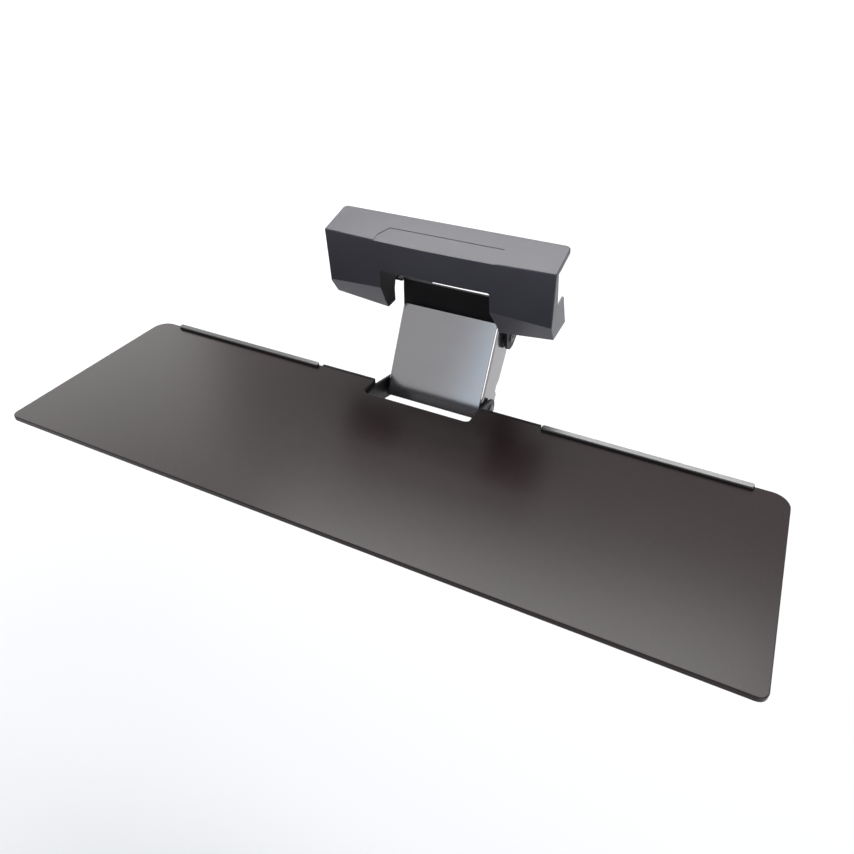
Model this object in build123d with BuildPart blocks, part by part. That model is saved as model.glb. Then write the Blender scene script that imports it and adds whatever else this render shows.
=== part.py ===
"""Keyboard tray that clamps to the front edge of a desk.

The origin lies on the desk's top at its front edge, mid-width. +X is to the right of someone
who sits at the desk, +Y goes back into the desk and +Z is up. All sizes are millimetres.
"""
import os
from math import cos, radians, sin, sqrt, tan

from build123d import *

# Desk that the clamp is set for, and its front edge
desk_thick = 35.0

# Moulded cover
cover_width = 231.0
cover_top = 5.0          # its top face, above the desk
cover_rear = 34.5        # how far it reaches back over the desk
cover_front = 6.5        # how far its top front corners stand out from the desk
cover_bow = 3.3          # extra reach of the bowed front at mid-width
cover_wall = 2.0
cover_skin = 1.7         # top skin
cover_rim = 1.5          # rear rim
cover_desk_gap = 0.4     # rim above the desk
front_corner = 1.5
inner_corner = 0.5
rear_corner = 5.0
cover_edge_round = 1.2
front_lean = 10.6        # degrees, the face comes forward as it goes down
crease_drop = 48.0       # where the face folds back, at its ends
facet_lean = 19.0        # degrees, the facet goes back as it goes down
leg_foot_drop = 68.0     # lower end of the facet, at the outer ends
foot_back_slope = 11.4   # degrees, the leg's underside falls towards the back
foot_side_slope = 10.0   # degrees, and towards the notch
notch_top_half = 56.0
notch_crease_half = 57.0
notch_foot_half = 60.0
notch_drop = 24.5
notch_corner = 2.0
leg_gap = 2.5            # between the desk's underside and the legs' side walls
outer_rear_top = 16.0    # rear edges of the leg's outer and inner walls, behind the desk's edge
outer_rear_foot = 28.0
inner_rear_top = 18.0
inner_rear_foot = 5.0
label_half = 61.0
label_reach = 13.0
label_bevel = 7.0
label_depth = 0.4
key_slot_radius = 6.0    # way in for the key that turns a clamp screw

# Steel jaw inside the cover
steel = 2.5
bend = 0.5
jaw_side_gap = 2.5       # between the jaw and the cover's side walls
jaw_rear_gap = 0.3
jaw_rear_corner = 6.0
web_back = 1.5           # web's rear face, in front of the desk
jaw_notch_half = 61.5
jaw_notch_drop = 28.0
jaw_notch_corner = 2.0
ledge_drop = 62.0        # underside of the two ledges
ledge_reach = 26.0
tongue_reach = 62.0
tongue_half = 80.0
pad_thick = 0.8
pad_margin = 3.0
edge_pad_drop = 4.0
edge_pad_height = 11.0

# Screws that hold the cover on the jaw
cover_screw_radius = 1.5
cover_screw_head = 2.8
cover_screw_drop = 19.0
cover_screw_inner = 36.0
cover_screw_length = 8.0
boss_radius = 3.4
rib_thick = 1.2
rib_inner = 18.0
rib_set = 14.5           # outer ribs, from the jaw's notch
rib_height = 16.0
countersink = 90.0       # degrees

# Clamp screws
clamp_edge = 19.0        # clamp screw's axis, from the jaw's side edge
clamp_y = 14.0
clamp_radius = 4.0
clamp_hole_gap = 0.2
clamp_length = 31.0
clamp_chamfer = 0.6
clamp_key = 2.3          # half the socket's width across its flats
clamp_key_depth = 5.0
nut_radius = 7.5
nut_height = 6.5
ball_radius = 3.0
neck_radius = 2.0
neck_length = 0.8
foot_radius = 13.0
foot_cup = 5.0
foot_rubber = 1.5
foot_chamfer = 1.0
ball_depth = 3.5         # ball's centre below the cup's top

# Hinge bracket under the jaw
bracket_steel = 3.0
bracket_half = 58.5
bracket_bend = 2.5       # outside of its bends
plate_top_y = 26.5       # front face of its front plate, top and foot
plate_foot_y = 19.5
plate_top_drop = 66.5
plate_foot_drop = 93.3
flange_set = 2.5         # flange's front edge, behind the clamp screw
cheek_reach = 84.0
cheek_rear_drop = 118.0
cheek_corner = 10.0
cheek_lobe = 14.0
flange_corner = 8.0
bracket_bolt_x = 69.0
bracket_bolt_front = 34.0
bracket_bolt_rear = 55.0
bracket_bolt_radius = 3.0
bracket_head_radius = 5.8
bracket_head_height = 4.0
bracket_nut_height = 5.0

# Shoulder pivot and arm
shoulder_y = 31.0
shoulder_drop = 117.0
arm_slope = 48.7         # degrees
arm_half = 53.5
arm_steel = 2.0
arm_bend = 1.5
arm_depth = 34.9         # front face of the arm's web, from the shoulder axis
arm_above = 10.9         # web's top edge, above the shoulder axis along the arm
arm_below = 87.0         # its foot, below it
web_corner = 6.0
tilt_rise = 8.7          # tilt pivot, above the arm's foot along the arm
tilt_set = 18.5          # and behind its front face
# outline of the side flanges, as shares of arm_below along it and of arm_depth across it
flange_back_shares = (
    (-0.195, -0.278), (-0.552, -0.160), (-0.620, -0.035), (-0.690, -0.035), (-0.735, -0.186),
    (-0.931, -0.160),
)
flange_foot_share = 0.22
flange_brow_shares = ((0.034, 0.76), (0.057, 0.645), (0.16, 0.23))
flange_web_share = 0.046

# Hinge hardware, both pivots. The pins' low heads lie flat on the outer plates.
pin_radius = 4.0
pin_play = 0.05
bush_radius = 6.0
bush_flange = 8.6
bush_gap = 0.1           # free play at the bush's flange
washer_radius = 8.6
washer_thick = 1.2
spring_radius = 8.0
spring_thick = 0.8
spring_rise = 0.7
seat_gap = 0.05
lock_nut_radius = 7.4
lock_nut_height = 6.5
head_radius = 6.5
head_height = 1.2
head_round = 0.5
pin_tail = 1.0

# Tray
tray_width = 686.0
tray_depth = 209.0
tray_thick = 5.0
tray_corner = 16.0
tray_edge_round = 0.8
tray_slope = 15.0        # degrees, the rear edge lies lower than the front
tray_ahead = 34.6        # rear edge in front of the tilt axis, along the tray
tray_over = 24.4         # tray's top above the tilt axis, across it
tray_notch_half = 58.5
tray_notch_depth = 24.0
tray_notch_corner = 6.0
lip_gap = 2.0            # between a lip and the bracket's upturned flange
lip_margin = 30.0        # beyond its outer end
lip_depth = 5.5
lip_height = 4.0
lip_inset = 0.8
lip_seat = 0.5           # step in the board that the lip is glued into
lip_round = 1.6

# Bracket under the tray
mount_steel = 2.5
mount_half = 122.0
mount_front = 119.0      # its front edge, from the tray's rear edge
mount_corner = 10.0
mount_slot = 59.0        # slot between its ears, from the tray's rear edge
mount_rear_gap = 0.3
ear_inner = 55.5
ear_lobe = 12.0
ear_root = 4.0
mount_relief = 1.0
screw_radius = 2.0
screw_depth = 3.4
screw_head_radius = 4.0
screw_head_height = 2.2
screw_x = 106.0
screw_front = 104.0
screw_mid = 64.0
screw_rear = 22.0

fit_gap = 0.1            # between fixed pieces that only just clear each other
overrun = 20.0
through = 300.0

# Places that follow from the sizes above
jaw_width = cover_width - 2 * (cover_wall + jaw_side_gap)
clamp_x = jaw_width / 2 - clamp_edge
rib_outer = jaw_notch_half + rib_set
flange_front = clamp_y + clamp_radius + flange_set
tilt_along = arm_below - tilt_rise
tilt_out = arm_depth - tilt_set
lip_start = mount_half + lip_gap
lip_end = tray_width / 2 - lip_margin
web_front = web_back + steel
cheek_inner = bracket_half - bracket_steel
arm_inner = arm_half - arm_steel
shoulder = Vector(0, shoulder_y, -shoulder_drop)
arm_plane = Plane(
    origin=shoulder,
    x_dir=(0, cos(radians(arm_slope)), sin(radians(arm_slope))),
    z_dir=(1, 0, 0),
)
tilt = arm_plane.from_local_coords(Vector(-tilt_along, tilt_out, 0))
tray_back = Vector(0, cos(radians(tray_slope)), -sin(radians(tray_slope)))
tray_up = Vector(0, sin(radians(tray_slope)), cos(radians(tray_slope)))
tray_edge = tilt - tray_back * tray_ahead + tray_up * tray_over
tray_plane = Plane(origin=tray_edge, x_dir=(1, 0, 0), z_dir=tray_up)
tray_side = Plane(origin=tray_edge, x_dir=tray_back, z_dir=(1, 0, 0))
clamp_places = [(side * clamp_x, clamp_y) for side in (-1, 1)]
bracket_bolt_places = [
    (side * bracket_bolt_x, y) for side in (-1, 1) for y in (bracket_bolt_front, bracket_bolt_rear)
]
cover_screw_places = [
    (side * x, -cover_screw_drop) for side in (-1, 1) for x in (cover_screw_inner, clamp_x)
]
rib_places = [(side * x, -cover_screw_drop) for side in (-1, 1) for x in (rib_inner, rib_outer)]
tray_screw_places = [
    (side * screw_x, -y) for side in (-1, 1) for y in (screw_front, screw_mid, screw_rear)
]


def both_sides(part):
    """The right-hand part and its mirror image on the left."""
    with BuildPart() as pair:
        add(part)
        mirror(part, about=Plane.YZ)
    return pair.part


def write(part, name):
    """Label a finished piece and write its STEP file."""
    part.label = name
    export_step(part, f"parts/{name}.step")


os.makedirs("parts", exist_ok=True)


# The cover is a thin moulding with a bowed, forward-leaning face that folds back into two legs.
# One closed form, made twice, gives its outside and its hollow.
crease_y = -cover_front - (cover_top + crease_drop) * tan(radians(front_lean))
leg_limit = leg_foot_drop + overrun


def facet_y(drop):
    """Where the facet's plane lies, at a depth below the desk's top."""
    return crease_y + (drop - crease_drop) * tan(radians(facet_lean))


def foot_plane(side, inset):
    """Plane of a leg's underside, moved up into the leg by a wall."""
    across = -side * tan(radians(foot_side_slope))
    back = tan(radians(foot_back_slope))
    plane = Plane(
        origin=(side * cover_width / 2, facet_y(leg_foot_drop), -leg_foot_drop),
        z_dir=(across, back, 1),
    )
    return plane.offset(inset)


def cover_form(inset, skin, rim, corner, edge_round):
    """The cover's closed outer form, drawn in by its walls, its top skin and its rear rim."""
    half = cover_width / 2 - inset
    front = -cover_front + inset / cos(radians(front_lean))
    facet = inset / cos(radians(facet_lean))
    with BuildPart() as form:
        with BuildSketch(Plane.XY.offset(cover_top)) as plan:
            with BuildLine():
                ThreePointArc((-half, front), (0, front - cover_bow), (half, front))
                Polyline((half, front), (half, through), (-half, through), (-half, front))
            make_face()
            fillet(plan.vertices().group_by(Axis.Y)[0], corner)
        lean = Vector(0, -sin(radians(front_lean)), -cos(radians(front_lean)))
        extrude(amount=leg_limit / cos(radians(front_lean)) + overrun, dir=lean)
        with BuildSketch(Plane.YZ):
            with BuildLine():
                Polyline(
                    (cover_rear - rim, cover_top - skin),
                    (facet_y(-cover_top) + facet, cover_top - skin),
                    (facet_y(leg_limit) + facet, -leg_limit),
                    (cover_rear - rim, -leg_limit),
                    close=True,
                )
            make_face()
        extrude(amount=cover_width, both=True, mode=Mode.INTERSECT)
        corner_edges = form.edges().filter_by(Axis.Z).group_by(Axis.Y)[-1]
        fillet(corner_edges, rear_corner - rim)
        if edge_round:
            fillet(form.faces().sort_by(Axis.Z)[-1].edges(), edge_round)
        split(bisect_by=foot_plane(1, inset), keep=Keep.TOP)
        split(bisect_by=foot_plane(-1, inset), keep=Keep.TOP)
        with BuildSketch(Plane.XZ) as notch:
            with BuildLine():
                Polyline(
                    (notch_top_half + inset, -notch_drop + inset),
                    (notch_crease_half + inset, -crease_drop),
                    (notch_foot_half + inset, -leg_foot_drop),
                    (notch_foot_half + inset, -leg_limit),
                    (-notch_foot_half - inset, -leg_limit),
                    (-notch_foot_half - inset, -leg_foot_drop),
                    (-notch_crease_half - inset, -crease_drop),
                    (-notch_top_half - inset, -notch_drop + inset),
                    close=True,
                )
            make_face()
            fillet(notch.vertices().group_by(Axis.Y)[-1], notch_corner + inset)
        extrude(amount=through, both=True, mode=Mode.SUBTRACT)
    return form.part


cover_outside = cover_form(0, 0, 0, front_corner, cover_edge_round)
cover_inside = cover_form(cover_wall, cover_skin, cover_rim, inner_corner, 0)
web_plane = Plane(origin=(0, -web_front - fit_gap, 0), x_dir=(1, 0, 0), z_dir=(0, -1, 0))

# Screw bosses and stiffening ribs, between the face and the jaw's web
with BuildPart() as cover_ribs:
    with BuildSketch(web_plane):
        with Locations(*cover_screw_places):
            Circle(boss_radius)
        with Locations(*rib_places):
            Rectangle(rib_thick, rib_height)
    extrude(amount=through)
    add(cover_outside, mode=Mode.INTERSECT)

# What the legs' rear edges leave open, a ruled form between the notch and the outer wall
with BuildPart() as leg_opening:
    for x, top, foot in (
        (notch_top_half - cover_wall, inner_rear_top, inner_rear_foot),
        (cover_width / 2 + cover_wall, outer_rear_top, outer_rear_foot),
    ):
        with BuildSketch(Plane.YZ.offset(x)):
            with BuildLine():
                Polyline(
                    (top, -desk_thick),
                    (foot, -leg_limit),
                    (cover_rear + overrun, -leg_limit),
                    (cover_rear + overrun, -desk_thick),
                    close=True,
                )
            make_face()
    loft(ruled=True)

with BuildPart() as clamp_cover:
    add(cover_outside)
    add(cover_inside, mode=Mode.SUBTRACT)
    add(cover_ribs.part)
    # the desk's edge
    with BuildSketch(Plane.YZ):
        with Locations((-cover_desk_gap, cover_desk_gap)):
            Rectangle(through, desk_thick + leg_gap + cover_desk_gap, align=(Align.MIN, Align.MAX))
    extrude(amount=cover_width, both=True, mode=Mode.SUBTRACT)
    add(leg_opening.part, mode=Mode.SUBTRACT)
    mirror(leg_opening.part, about=Plane.YZ, mode=Mode.SUBTRACT)
    # the notch's lip stops at the steel web behind it
    with BuildSketch(Plane.YZ):
        with Locations((-web_front - fit_gap, -jaw_notch_drop - fit_gap)):
            Rectangle(through, jaw_notch_drop, align=(Align.MIN, Align.MIN))
    extrude(amount=jaw_notch_half, both=True, mode=Mode.SUBTRACT)
    # the way in for the key, from below and behind
    with BuildSketch(Plane.XY.offset(-ledge_drop - cover_wall)):
        with Locations(*clamp_places):
            Circle(key_slot_radius)
            Rectangle(2 * key_slot_radius, overrun, align=(Align.CENTER, Align.MIN))
    extrude(amount=-through, mode=Mode.SUBTRACT)
    # pilot holes for the cover's screws
    with BuildSketch(web_plane):
        with Locations(*cover_screw_places):
            Circle(cover_screw_radius)
    extrude(amount=cover_screw_length - web_front, mode=Mode.SUBTRACT)
    # shallow bed for a label, left bare
    with BuildSketch(Plane.XY.offset(cover_top - label_depth)):
        with BuildLine():
            Polyline(
                (-label_half, -through),
                (-label_half, label_bevel - label_reach / 2),
                (-label_half + label_bevel, label_reach),
                (label_half, label_reach),
                (label_half, -through),
                close=True,
            )
        make_face()
    extrude(amount=overrun, mode=Mode.SUBTRACT)
write(clamp_cover.part, "clamp_cover")


# The jaw is one steel bending: a top plate over the desk, a web down its front edge and a
# ledge on each side of the notch, under the desk. Tongues carry the ledges back.
jaw_top = cover_top - cover_skin
jaw_rear = cover_rear - cover_rim - jaw_rear_gap
web_face = Plane(origin=(0, -web_back, 0), x_dir=(-1, 0, 0), z_dir=(0, 1, 0))

with BuildPart() as upper_jaw:
    with BuildSketch(Plane.YZ) as jaw_section:
        with BuildLine():
            Polyline(
                (jaw_rear, jaw_top),
                (-web_front, jaw_top),
                (-web_front, -ledge_drop),
                (tongue_reach, -ledge_drop),
                (tongue_reach, -ledge_drop + steel),
                (-web_back, -ledge_drop + steel),
                (-web_back, jaw_top - steel),
                (jaw_rear, jaw_top - steel),
                close=True,
            )
        make_face()
        corners = jaw_section.vertices().sort_by(Axis.X)
        fillet(corners[:2], bend + steel)
        corners = jaw_section.vertices().filter_by(lambda v: v.X == -web_back)
        fillet(corners, bend)
    extrude(amount=jaw_width / 2, both=True)
    fillet(upper_jaw.edges().filter_by(Axis.Z).group_by(Axis.Z)[-1], jaw_rear_corner)
    with BuildSketch(Plane.XZ) as jaw_notch:
        with Locations((0, -jaw_notch_drop)):
            Rectangle(2 * jaw_notch_half, through, align=(Align.CENTER, Align.MAX))
        fillet(jaw_notch.vertices().group_by(Axis.Y)[-1], jaw_notch_corner)
    extrude(amount=through, both=True, mode=Mode.SUBTRACT)
    with BuildSketch(Plane.XY.offset(-ledge_drop - steel)) as ledge_ends:
        for side in (-1, 1):
            with Locations((side * (tongue_half + jaw_width) / 2, ledge_reach)):
                Rectangle(jaw_width - tongue_half, through, align=(Align.CENTER, Align.MIN))
    extrude(amount=3 * steel, mode=Mode.SUBTRACT)
    with BuildSketch(Plane.XY.offset(-ledge_drop - steel)):
        with Locations(*clamp_places):
            Circle(clamp_radius + clamp_hole_gap)
        with Locations(*bracket_bolt_places):
            Circle(bracket_bolt_radius + pin_play)
    extrude(amount=3 * steel, mode=Mode.SUBTRACT)
    with Locations(web_face):
        with Locations(*cover_screw_places):
            CounterSinkHole(
                radius=cover_screw_radius,
                counter_sink_radius=cover_screw_head,
                depth=steel,
                counter_sink_angle=countersink,
            )
write(upper_jaw.part, "upper_jaw")

with BuildPart() as cover_screws:
    with BuildSketch():
        with BuildLine():
            Polyline(
                (0, -web_back),
                (cover_screw_head, -web_back),
                (cover_screw_radius, -web_back - cover_screw_head + cover_screw_radius),
                (cover_screw_radius, -cover_screw_length),
                (0, -cover_screw_length),
                close=True,
            )
        make_face()
    revolve(axis=Axis.Y)
with BuildPart() as cover_screw_set:
    with Locations(*[(x, 0, z) for x, z in cover_screw_places]):
        add(cover_screws.part)
write(cover_screw_set.part, "cover_screws")

# Rubber facings against the desk's top and its front edge
with BuildPart() as desk_pad:
    with BuildSketch() as desk_pad_plan:
        with Locations((0, bend - web_back)):
            Rectangle(
                jaw_width - 2 * pad_margin,
                jaw_rear + web_back - bend - pad_margin,
                align=(Align.CENTER, Align.MIN),
            )
        fillet(desk_pad_plan.vertices().group_by(Axis.Y)[-1], jaw_rear_corner)
    extrude(amount=pad_thick)
write(desk_pad.part, "desk_pad")

with BuildPart() as edge_pad:
    with BuildSketch(Plane.XZ):
        with Locations((0, -edge_pad_drop)):
            Rectangle(
                jaw_width - 2 * pad_margin, edge_pad_height, align=(Align.CENTER, Align.MAX)
            )
    extrude(amount=web_back)
write(edge_pad.part, "edge_pad")

# Hexagon nuts welded on the ledges, which the clamp screws run in
with BuildPart() as ledge_nuts:
    with BuildSketch(Plane.XY.offset(-ledge_drop + steel)):
        with Locations(*clamp_places):
            RegularPolygon(nut_radius, 6)
            Circle(clamp_radius, mode=Mode.SUBTRACT)
    extrude(amount=nut_height)
write(ledge_nuts.part, "ledge_nuts")


# Clamp screws: a grub screw with a key socket below and a ball tip above, held in a foot
# that stays still while the screw turns.
cup_top = -desk_thick - foot_rubber
ball_z = cup_top - ball_depth
neck_z = ball_z - sqrt(ball_radius**2 - neck_radius**2)
shank_top = neck_z - neck_length
shank_radius = clamp_radius - 2 * pin_play

for side, hand in ((-1, "left"), (1, "right")):
    clamp_plane = Plane(origin=(side * clamp_x, clamp_y, 0), x_dir=(1, 0, 0), z_dir=(0, -1, 0))
    clamp_axis = Axis((side * clamp_x, clamp_y, 0), (0, 0, 1))

    with BuildPart() as clamp_screw:
        with BuildSketch(clamp_plane):
            with BuildLine():
                Polyline(
                    (0, ball_z + ball_radius),
                    (0, shank_top - clamp_length),
                    (shank_radius - clamp_chamfer, shank_top - clamp_length),
                    (shank_radius, shank_top - clamp_length + clamp_chamfer),
                    (shank_radius, shank_top),
                    (neck_radius, shank_top),
                    (neck_radius, neck_z),
                )
                ThreePointArc((neck_radius, neck_z), (ball_radius, ball_z), (0, ball_z + ball_radius))
            make_face()
        revolve(axis=clamp_axis)
        with BuildSketch(Plane.XY.offset(shank_top - clamp_length)):
            with Locations((side * clamp_x, clamp_y)):
                RegularPolygon(clamp_key, 6, major_radius=False)
        extrude(amount=clamp_key_depth, mode=Mode.SUBTRACT)
    write(clamp_screw.part, f"clamp_screw_{hand}")

    with BuildPart() as swivel_pad:
        with BuildSketch(clamp_plane) as cup_section:
            with Locations((0, cup_top)):
                Rectangle(foot_radius, foot_cup, align=(Align.MIN, Align.MAX))
            chamfer(cup_section.vertices().sort_by(Axis.X)[-2:].sort_by(Axis.Y)[0], foot_chamfer)
            with Locations((0, ball_z)):
                Circle(ball_radius + pin_play, mode=Mode.SUBTRACT)
        revolve(axis=clamp_axis)
    write(swivel_pad.part, f"swivel_pad_{hand}")

    with BuildPart() as pad_rubber:
        with BuildSketch(Plane.XY.offset(cup_top)):
            with Locations((side * clamp_x, clamp_y)):
                Circle(foot_radius)
        extrude(amount=foot_rubber)
    write(pad_rubber.part, f"pad_rubber_{hand}")


# Hinge bracket: a sloping front plate bent back into two cheeks with a round lobe at the
# shoulder pivot, and a flange on each side that is bolted under the jaw's ledge and tongue.
flange_top = -ledge_drop
flange_under = flange_top - bracket_steel
plate_run = Vector(0, plate_foot_y - plate_top_y, plate_top_drop - plate_foot_drop)
plate_plane = Plane(origin=(0, plate_top_y, -plate_top_drop), x_dir=(1, 0, 0), z_dir=plate_run)
cheek_top_y = plate_top_y + plate_run.Y / plate_run.Z * (plate_top_drop - ledge_drop)

with BuildPart() as right_cheek:
    with BuildSketch(Plane.YZ.offset(cheek_inner)):
        with BuildLine():
            Polyline(
                (cheek_reach, flange_top),
                (cheek_top_y, flange_top),
                (plate_foot_y, -plate_foot_drop),
            )
            CenterArc((shoulder_y, -shoulder_drop), cheek_lobe, 0, 360)
            CenterArc(
                (cheek_reach - cheek_corner, cheek_corner - cheek_rear_drop), cheek_corner, 0, 360
            )
        make_hull()
        with Locations((shoulder_y, -shoulder_drop)):
            Circle(pin_radius, mode=Mode.SUBTRACT)
    extrude(amount=bracket_steel)

with BuildPart() as right_flange:
    with BuildSketch(Plane.XY.offset(flange_top)) as flange_plan:
        with Locations((cheek_inner, flange_front)):
            Rectangle(tongue_half - cheek_inner, cheek_reach - flange_front, align=(Align.MIN, Align.MIN))
        fillet(flange_plan.vertices().sort_by(Axis.X)[-2:], flange_corner)
        with Locations(*[(x, y) for x, y in bracket_bolt_places if x > 0]):
            Circle(bracket_bolt_radius, mode=Mode.SUBTRACT)
    extrude(amount=-bracket_steel)

with BuildPart() as hinge_bracket:
    with BuildSketch(plate_plane):
        Rectangle(2 * bracket_half, bracket_steel, align=(Align.CENTER, Align.MAX))
    extrude(amount=plate_run.length)
    add(right_cheek.part)
    mirror(right_cheek.part, about=Plane.YZ)
    # the bends between the plate and the cheeks
    with BuildSketch(plate_plane) as bracket_section:
        Rectangle(2 * bracket_half, through, align=(Align.CENTER, Align.MAX))
        fillet(bracket_section.vertices().group_by(Axis.Y)[-1], bracket_bend)
    extrude(amount=through, both=True, mode=Mode.INTERSECT)
    add(right_flange.part)
    mirror(right_flange.part, about=Plane.YZ)
write(hinge_bracket.part, "hinge_bracket")

with BuildPart() as bracket_bolts:
    with BuildSketch(Plane.XY.offset(flange_under)):
        with Locations(*bracket_bolt_places):
            RegularPolygon(bracket_head_radius, 6)
    extrude(amount=-bracket_head_height)
    with BuildSketch(Plane.XY.offset(flange_under)):
        with Locations(*bracket_bolt_places):
            Circle(bracket_bolt_radius)
    extrude(amount=bracket_steel + steel + bracket_nut_height + pin_tail)
write(bracket_bolts.part, "bracket_bolts")

with BuildPart() as bracket_nuts:
    with BuildSketch(Plane.XY.offset(-ledge_drop + steel)):
        with Locations(*bracket_bolt_places):
            RegularPolygon(bracket_head_radius, 6)
            Circle(bracket_bolt_radius, mode=Mode.SUBTRACT)
    extrude(amount=bracket_nut_height)
write(bracket_nuts.part, "bracket_nuts")


# Each hinge has, on both sides, a bolt with a low round head through the outer plate and the
# arm's flange and, inside the arm, a washer, two disc springs and a lock nut. The springs
# hold the arm and the tray by friction wherever they are put.
stack_start = arm_inner - seat_gap


def hinge_hardware(pivot, plate_face, prefix):
    """Write the bolts, washers, springs and nuts of one pivot, from its plate's outer face."""
    along = Plane(origin=pivot, x_dir=(0, 1, 0), z_dir=(1, 0, 0))
    spring_start = stack_start - washer_thick
    nut_start = spring_start - 2 * (spring_thick + spring_rise)
    with BuildPart() as bolt:
        with BuildSketch(along.offset(plate_face)):
            Circle(head_radius)
        extrude(amount=head_height)
        fillet(bolt.faces().sort_by(Axis.X)[-1].edges(), head_round)
        with BuildSketch(along.offset(plate_face)):
            Circle(pin_radius)
        extrude(amount=-(plate_face - nut_start + lock_nut_height + pin_tail))
    write(both_sides(bolt.part), f"{prefix}_bolts")

    with BuildPart() as washer:
        with BuildSketch(along.offset(stack_start)):
            Circle(washer_radius)
            Circle(pin_radius, mode=Mode.SUBTRACT)
        extrude(amount=-washer_thick)
    write(both_sides(washer.part), f"{prefix}_washers")

    with BuildPart() as springs:
        with BuildSketch(Plane(origin=pivot, x_dir=(1, 0, 0), z_dir=(0, 0, 1))):
            for start, rise in (
                (spring_start - spring_rise, 1), (spring_start - spring_thick - spring_rise, -1),
            ):
                with BuildLine():
                    Polyline(
                        (start, pin_radius),
                        (start + rise * spring_rise, spring_radius),
                        (start + rise * spring_rise - spring_thick, spring_radius),
                        (start - spring_thick, pin_radius),
                        close=True,
                    )
                make_face()
        revolve(axis=Axis(pivot, (1, 0, 0)))
    write(both_sides(springs.part), f"{prefix}_springs")

    with BuildPart() as nut:
        with BuildSketch(along.offset(nut_start)):
            RegularPolygon(lock_nut_radius, 6)
            Circle(pin_radius, mode=Mode.SUBTRACT)
        extrude(amount=-lock_nut_height)
    write(both_sides(nut.part), f"{prefix}_nuts")


hinge_hardware(shoulder, bracket_half, "shoulder")
hinge_hardware(tilt, ear_inner + mount_steel, "tilt")


# The arm is a pressed channel: a flat web that faces forward and two deep side flanges.
web_top = arm_above
web_foot = -arm_below
flange_top_u = arm_above - flange_web_share * arm_below
brow_points = [(u * arm_below, v * arm_depth) for u, v in flange_brow_shares]
foot_u = web_foot + flange_foot_share * arm_depth
back_points = [(u * arm_below, v * arm_depth) for u, v in flange_back_shares]

with BuildPart() as arm_channel:
    with BuildSketch(Plane(origin=arm_plane.from_local_coords(Vector(web_foot, 0, 0)),
                           x_dir=(1, 0, 0), z_dir=-arm_plane.x_dir)) as channel_section:
        with Locations((0, arm_depth)):
            Rectangle(2 * arm_half, 2 * arm_depth, align=(Align.CENTER, Align.MAX))
        fillet(channel_section.vertices().group_by(Axis.Y)[-1], arm_bend + arm_steel)
        with BuildSketch(mode=Mode.SUBTRACT) as channel_hollow:
            with Locations((0, arm_depth - arm_steel)):
                Rectangle(2 * arm_inner, 2 * arm_depth, align=(Align.CENTER, Align.MAX))
            fillet(channel_hollow.vertices().group_by(Axis.Y)[-1], arm_bend)
    extrude(amount=-(web_top - web_foot))
    # side view
    with BuildSketch(arm_plane) as flange_outline:
        with BuildLine():
            Polyline(
                (web_top, arm_depth),
                (web_top, arm_depth - arm_steel),
                (flange_top_u, arm_depth - arm_steel),
                *brow_points,
                (0, 0),
                *back_points,
                (web_foot, back_points[-1][1] + arm_depth * flange_foot_share),
                (web_foot, arm_depth),
                close=True,
            )
        make_face()
        Circle(cheek_lobe)
    extrude(amount=arm_half, both=True, mode=Mode.INTERSECT)
    # front view, with the web's top corners rounded
    with BuildSketch(Plane(origin=arm_plane.from_local_coords(Vector(web_top, 0, 0)),
                           x_dir=(1, 0, 0), z_dir=arm_plane.y_dir)) as web_outline:
        Rectangle(2 * arm_half, web_top - web_foot, align=(Align.CENTER, Align.MAX))
        fillet(web_outline.vertices().group_by(Axis.Y)[-1], web_corner)
    extrude(amount=through, both=True, mode=Mode.INTERSECT)
    with BuildSketch(arm_plane):
        with Locations((0, 0), (-tilt_along, tilt_out)):
            Circle(bush_radius)
    extrude(amount=arm_half, both=True, mode=Mode.SUBTRACT)
write(arm_channel.part, "arm_channel")

# Flanged plastic bushes, pressed into the arm's flanges
bush_reach = ear_inner - bush_gap
with BuildPart() as right_bushes:
    with BuildSketch(arm_plane.offset(arm_half)):
        with Locations((0, 0), (-tilt_along, tilt_out)):
            Circle(bush_flange)
    extrude(amount=bush_reach - arm_half)
    with BuildSketch(arm_plane.offset(arm_inner)):
        with Locations((0, 0), (-tilt_along, tilt_out)):
            Circle(bush_radius)
    extrude(amount=arm_steel)
    with BuildSketch(arm_plane):
        with Locations((0, 0), (-tilt_along, tilt_out)):
            Circle(pin_radius + pin_play)
    extrude(amount=bracket_half, mode=Mode.SUBTRACT)
write(both_sides(right_bushes.part), "arm_bushes")


# The tray is a thin board with rounded corners and a notch at the back, in front of the arm.
lip_length = lip_end - lip_start
lip_middle = (lip_start + lip_end) / 2

with BuildPart() as tray_board:
    with BuildSketch(tray_plane) as board_plan:
        with Locations((0, -tray_depth / 2)):
            RectangleRounded(tray_width, tray_depth, tray_corner)
        with BuildSketch(mode=Mode.SUBTRACT) as board_notch:
            Rectangle(2 * tray_notch_half, 2 * tray_notch_depth)
            fillet(board_notch.vertices().group_by(Axis.Y)[0], tray_notch_corner)
    extrude(amount=-tray_thick)
    fillet(tray_board.faces().filter_by(tray_plane).edges(), tray_edge_round)
    with BuildSketch(tray_plane.offset(-tray_thick)):
        with Locations(*tray_screw_places):
            Circle(screw_radius)
    extrude(amount=screw_depth, mode=Mode.SUBTRACT)
    # the step that each lip is glued into
    with BuildSketch(tray_plane):
        with Locations((-lip_middle, 0), (lip_middle, 0)):
            Rectangle(lip_length, 2 * (lip_inset + lip_depth))
    extrude(amount=-lip_seat, mode=Mode.SUBTRACT)
write(tray_board.part, "tray_board")

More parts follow.
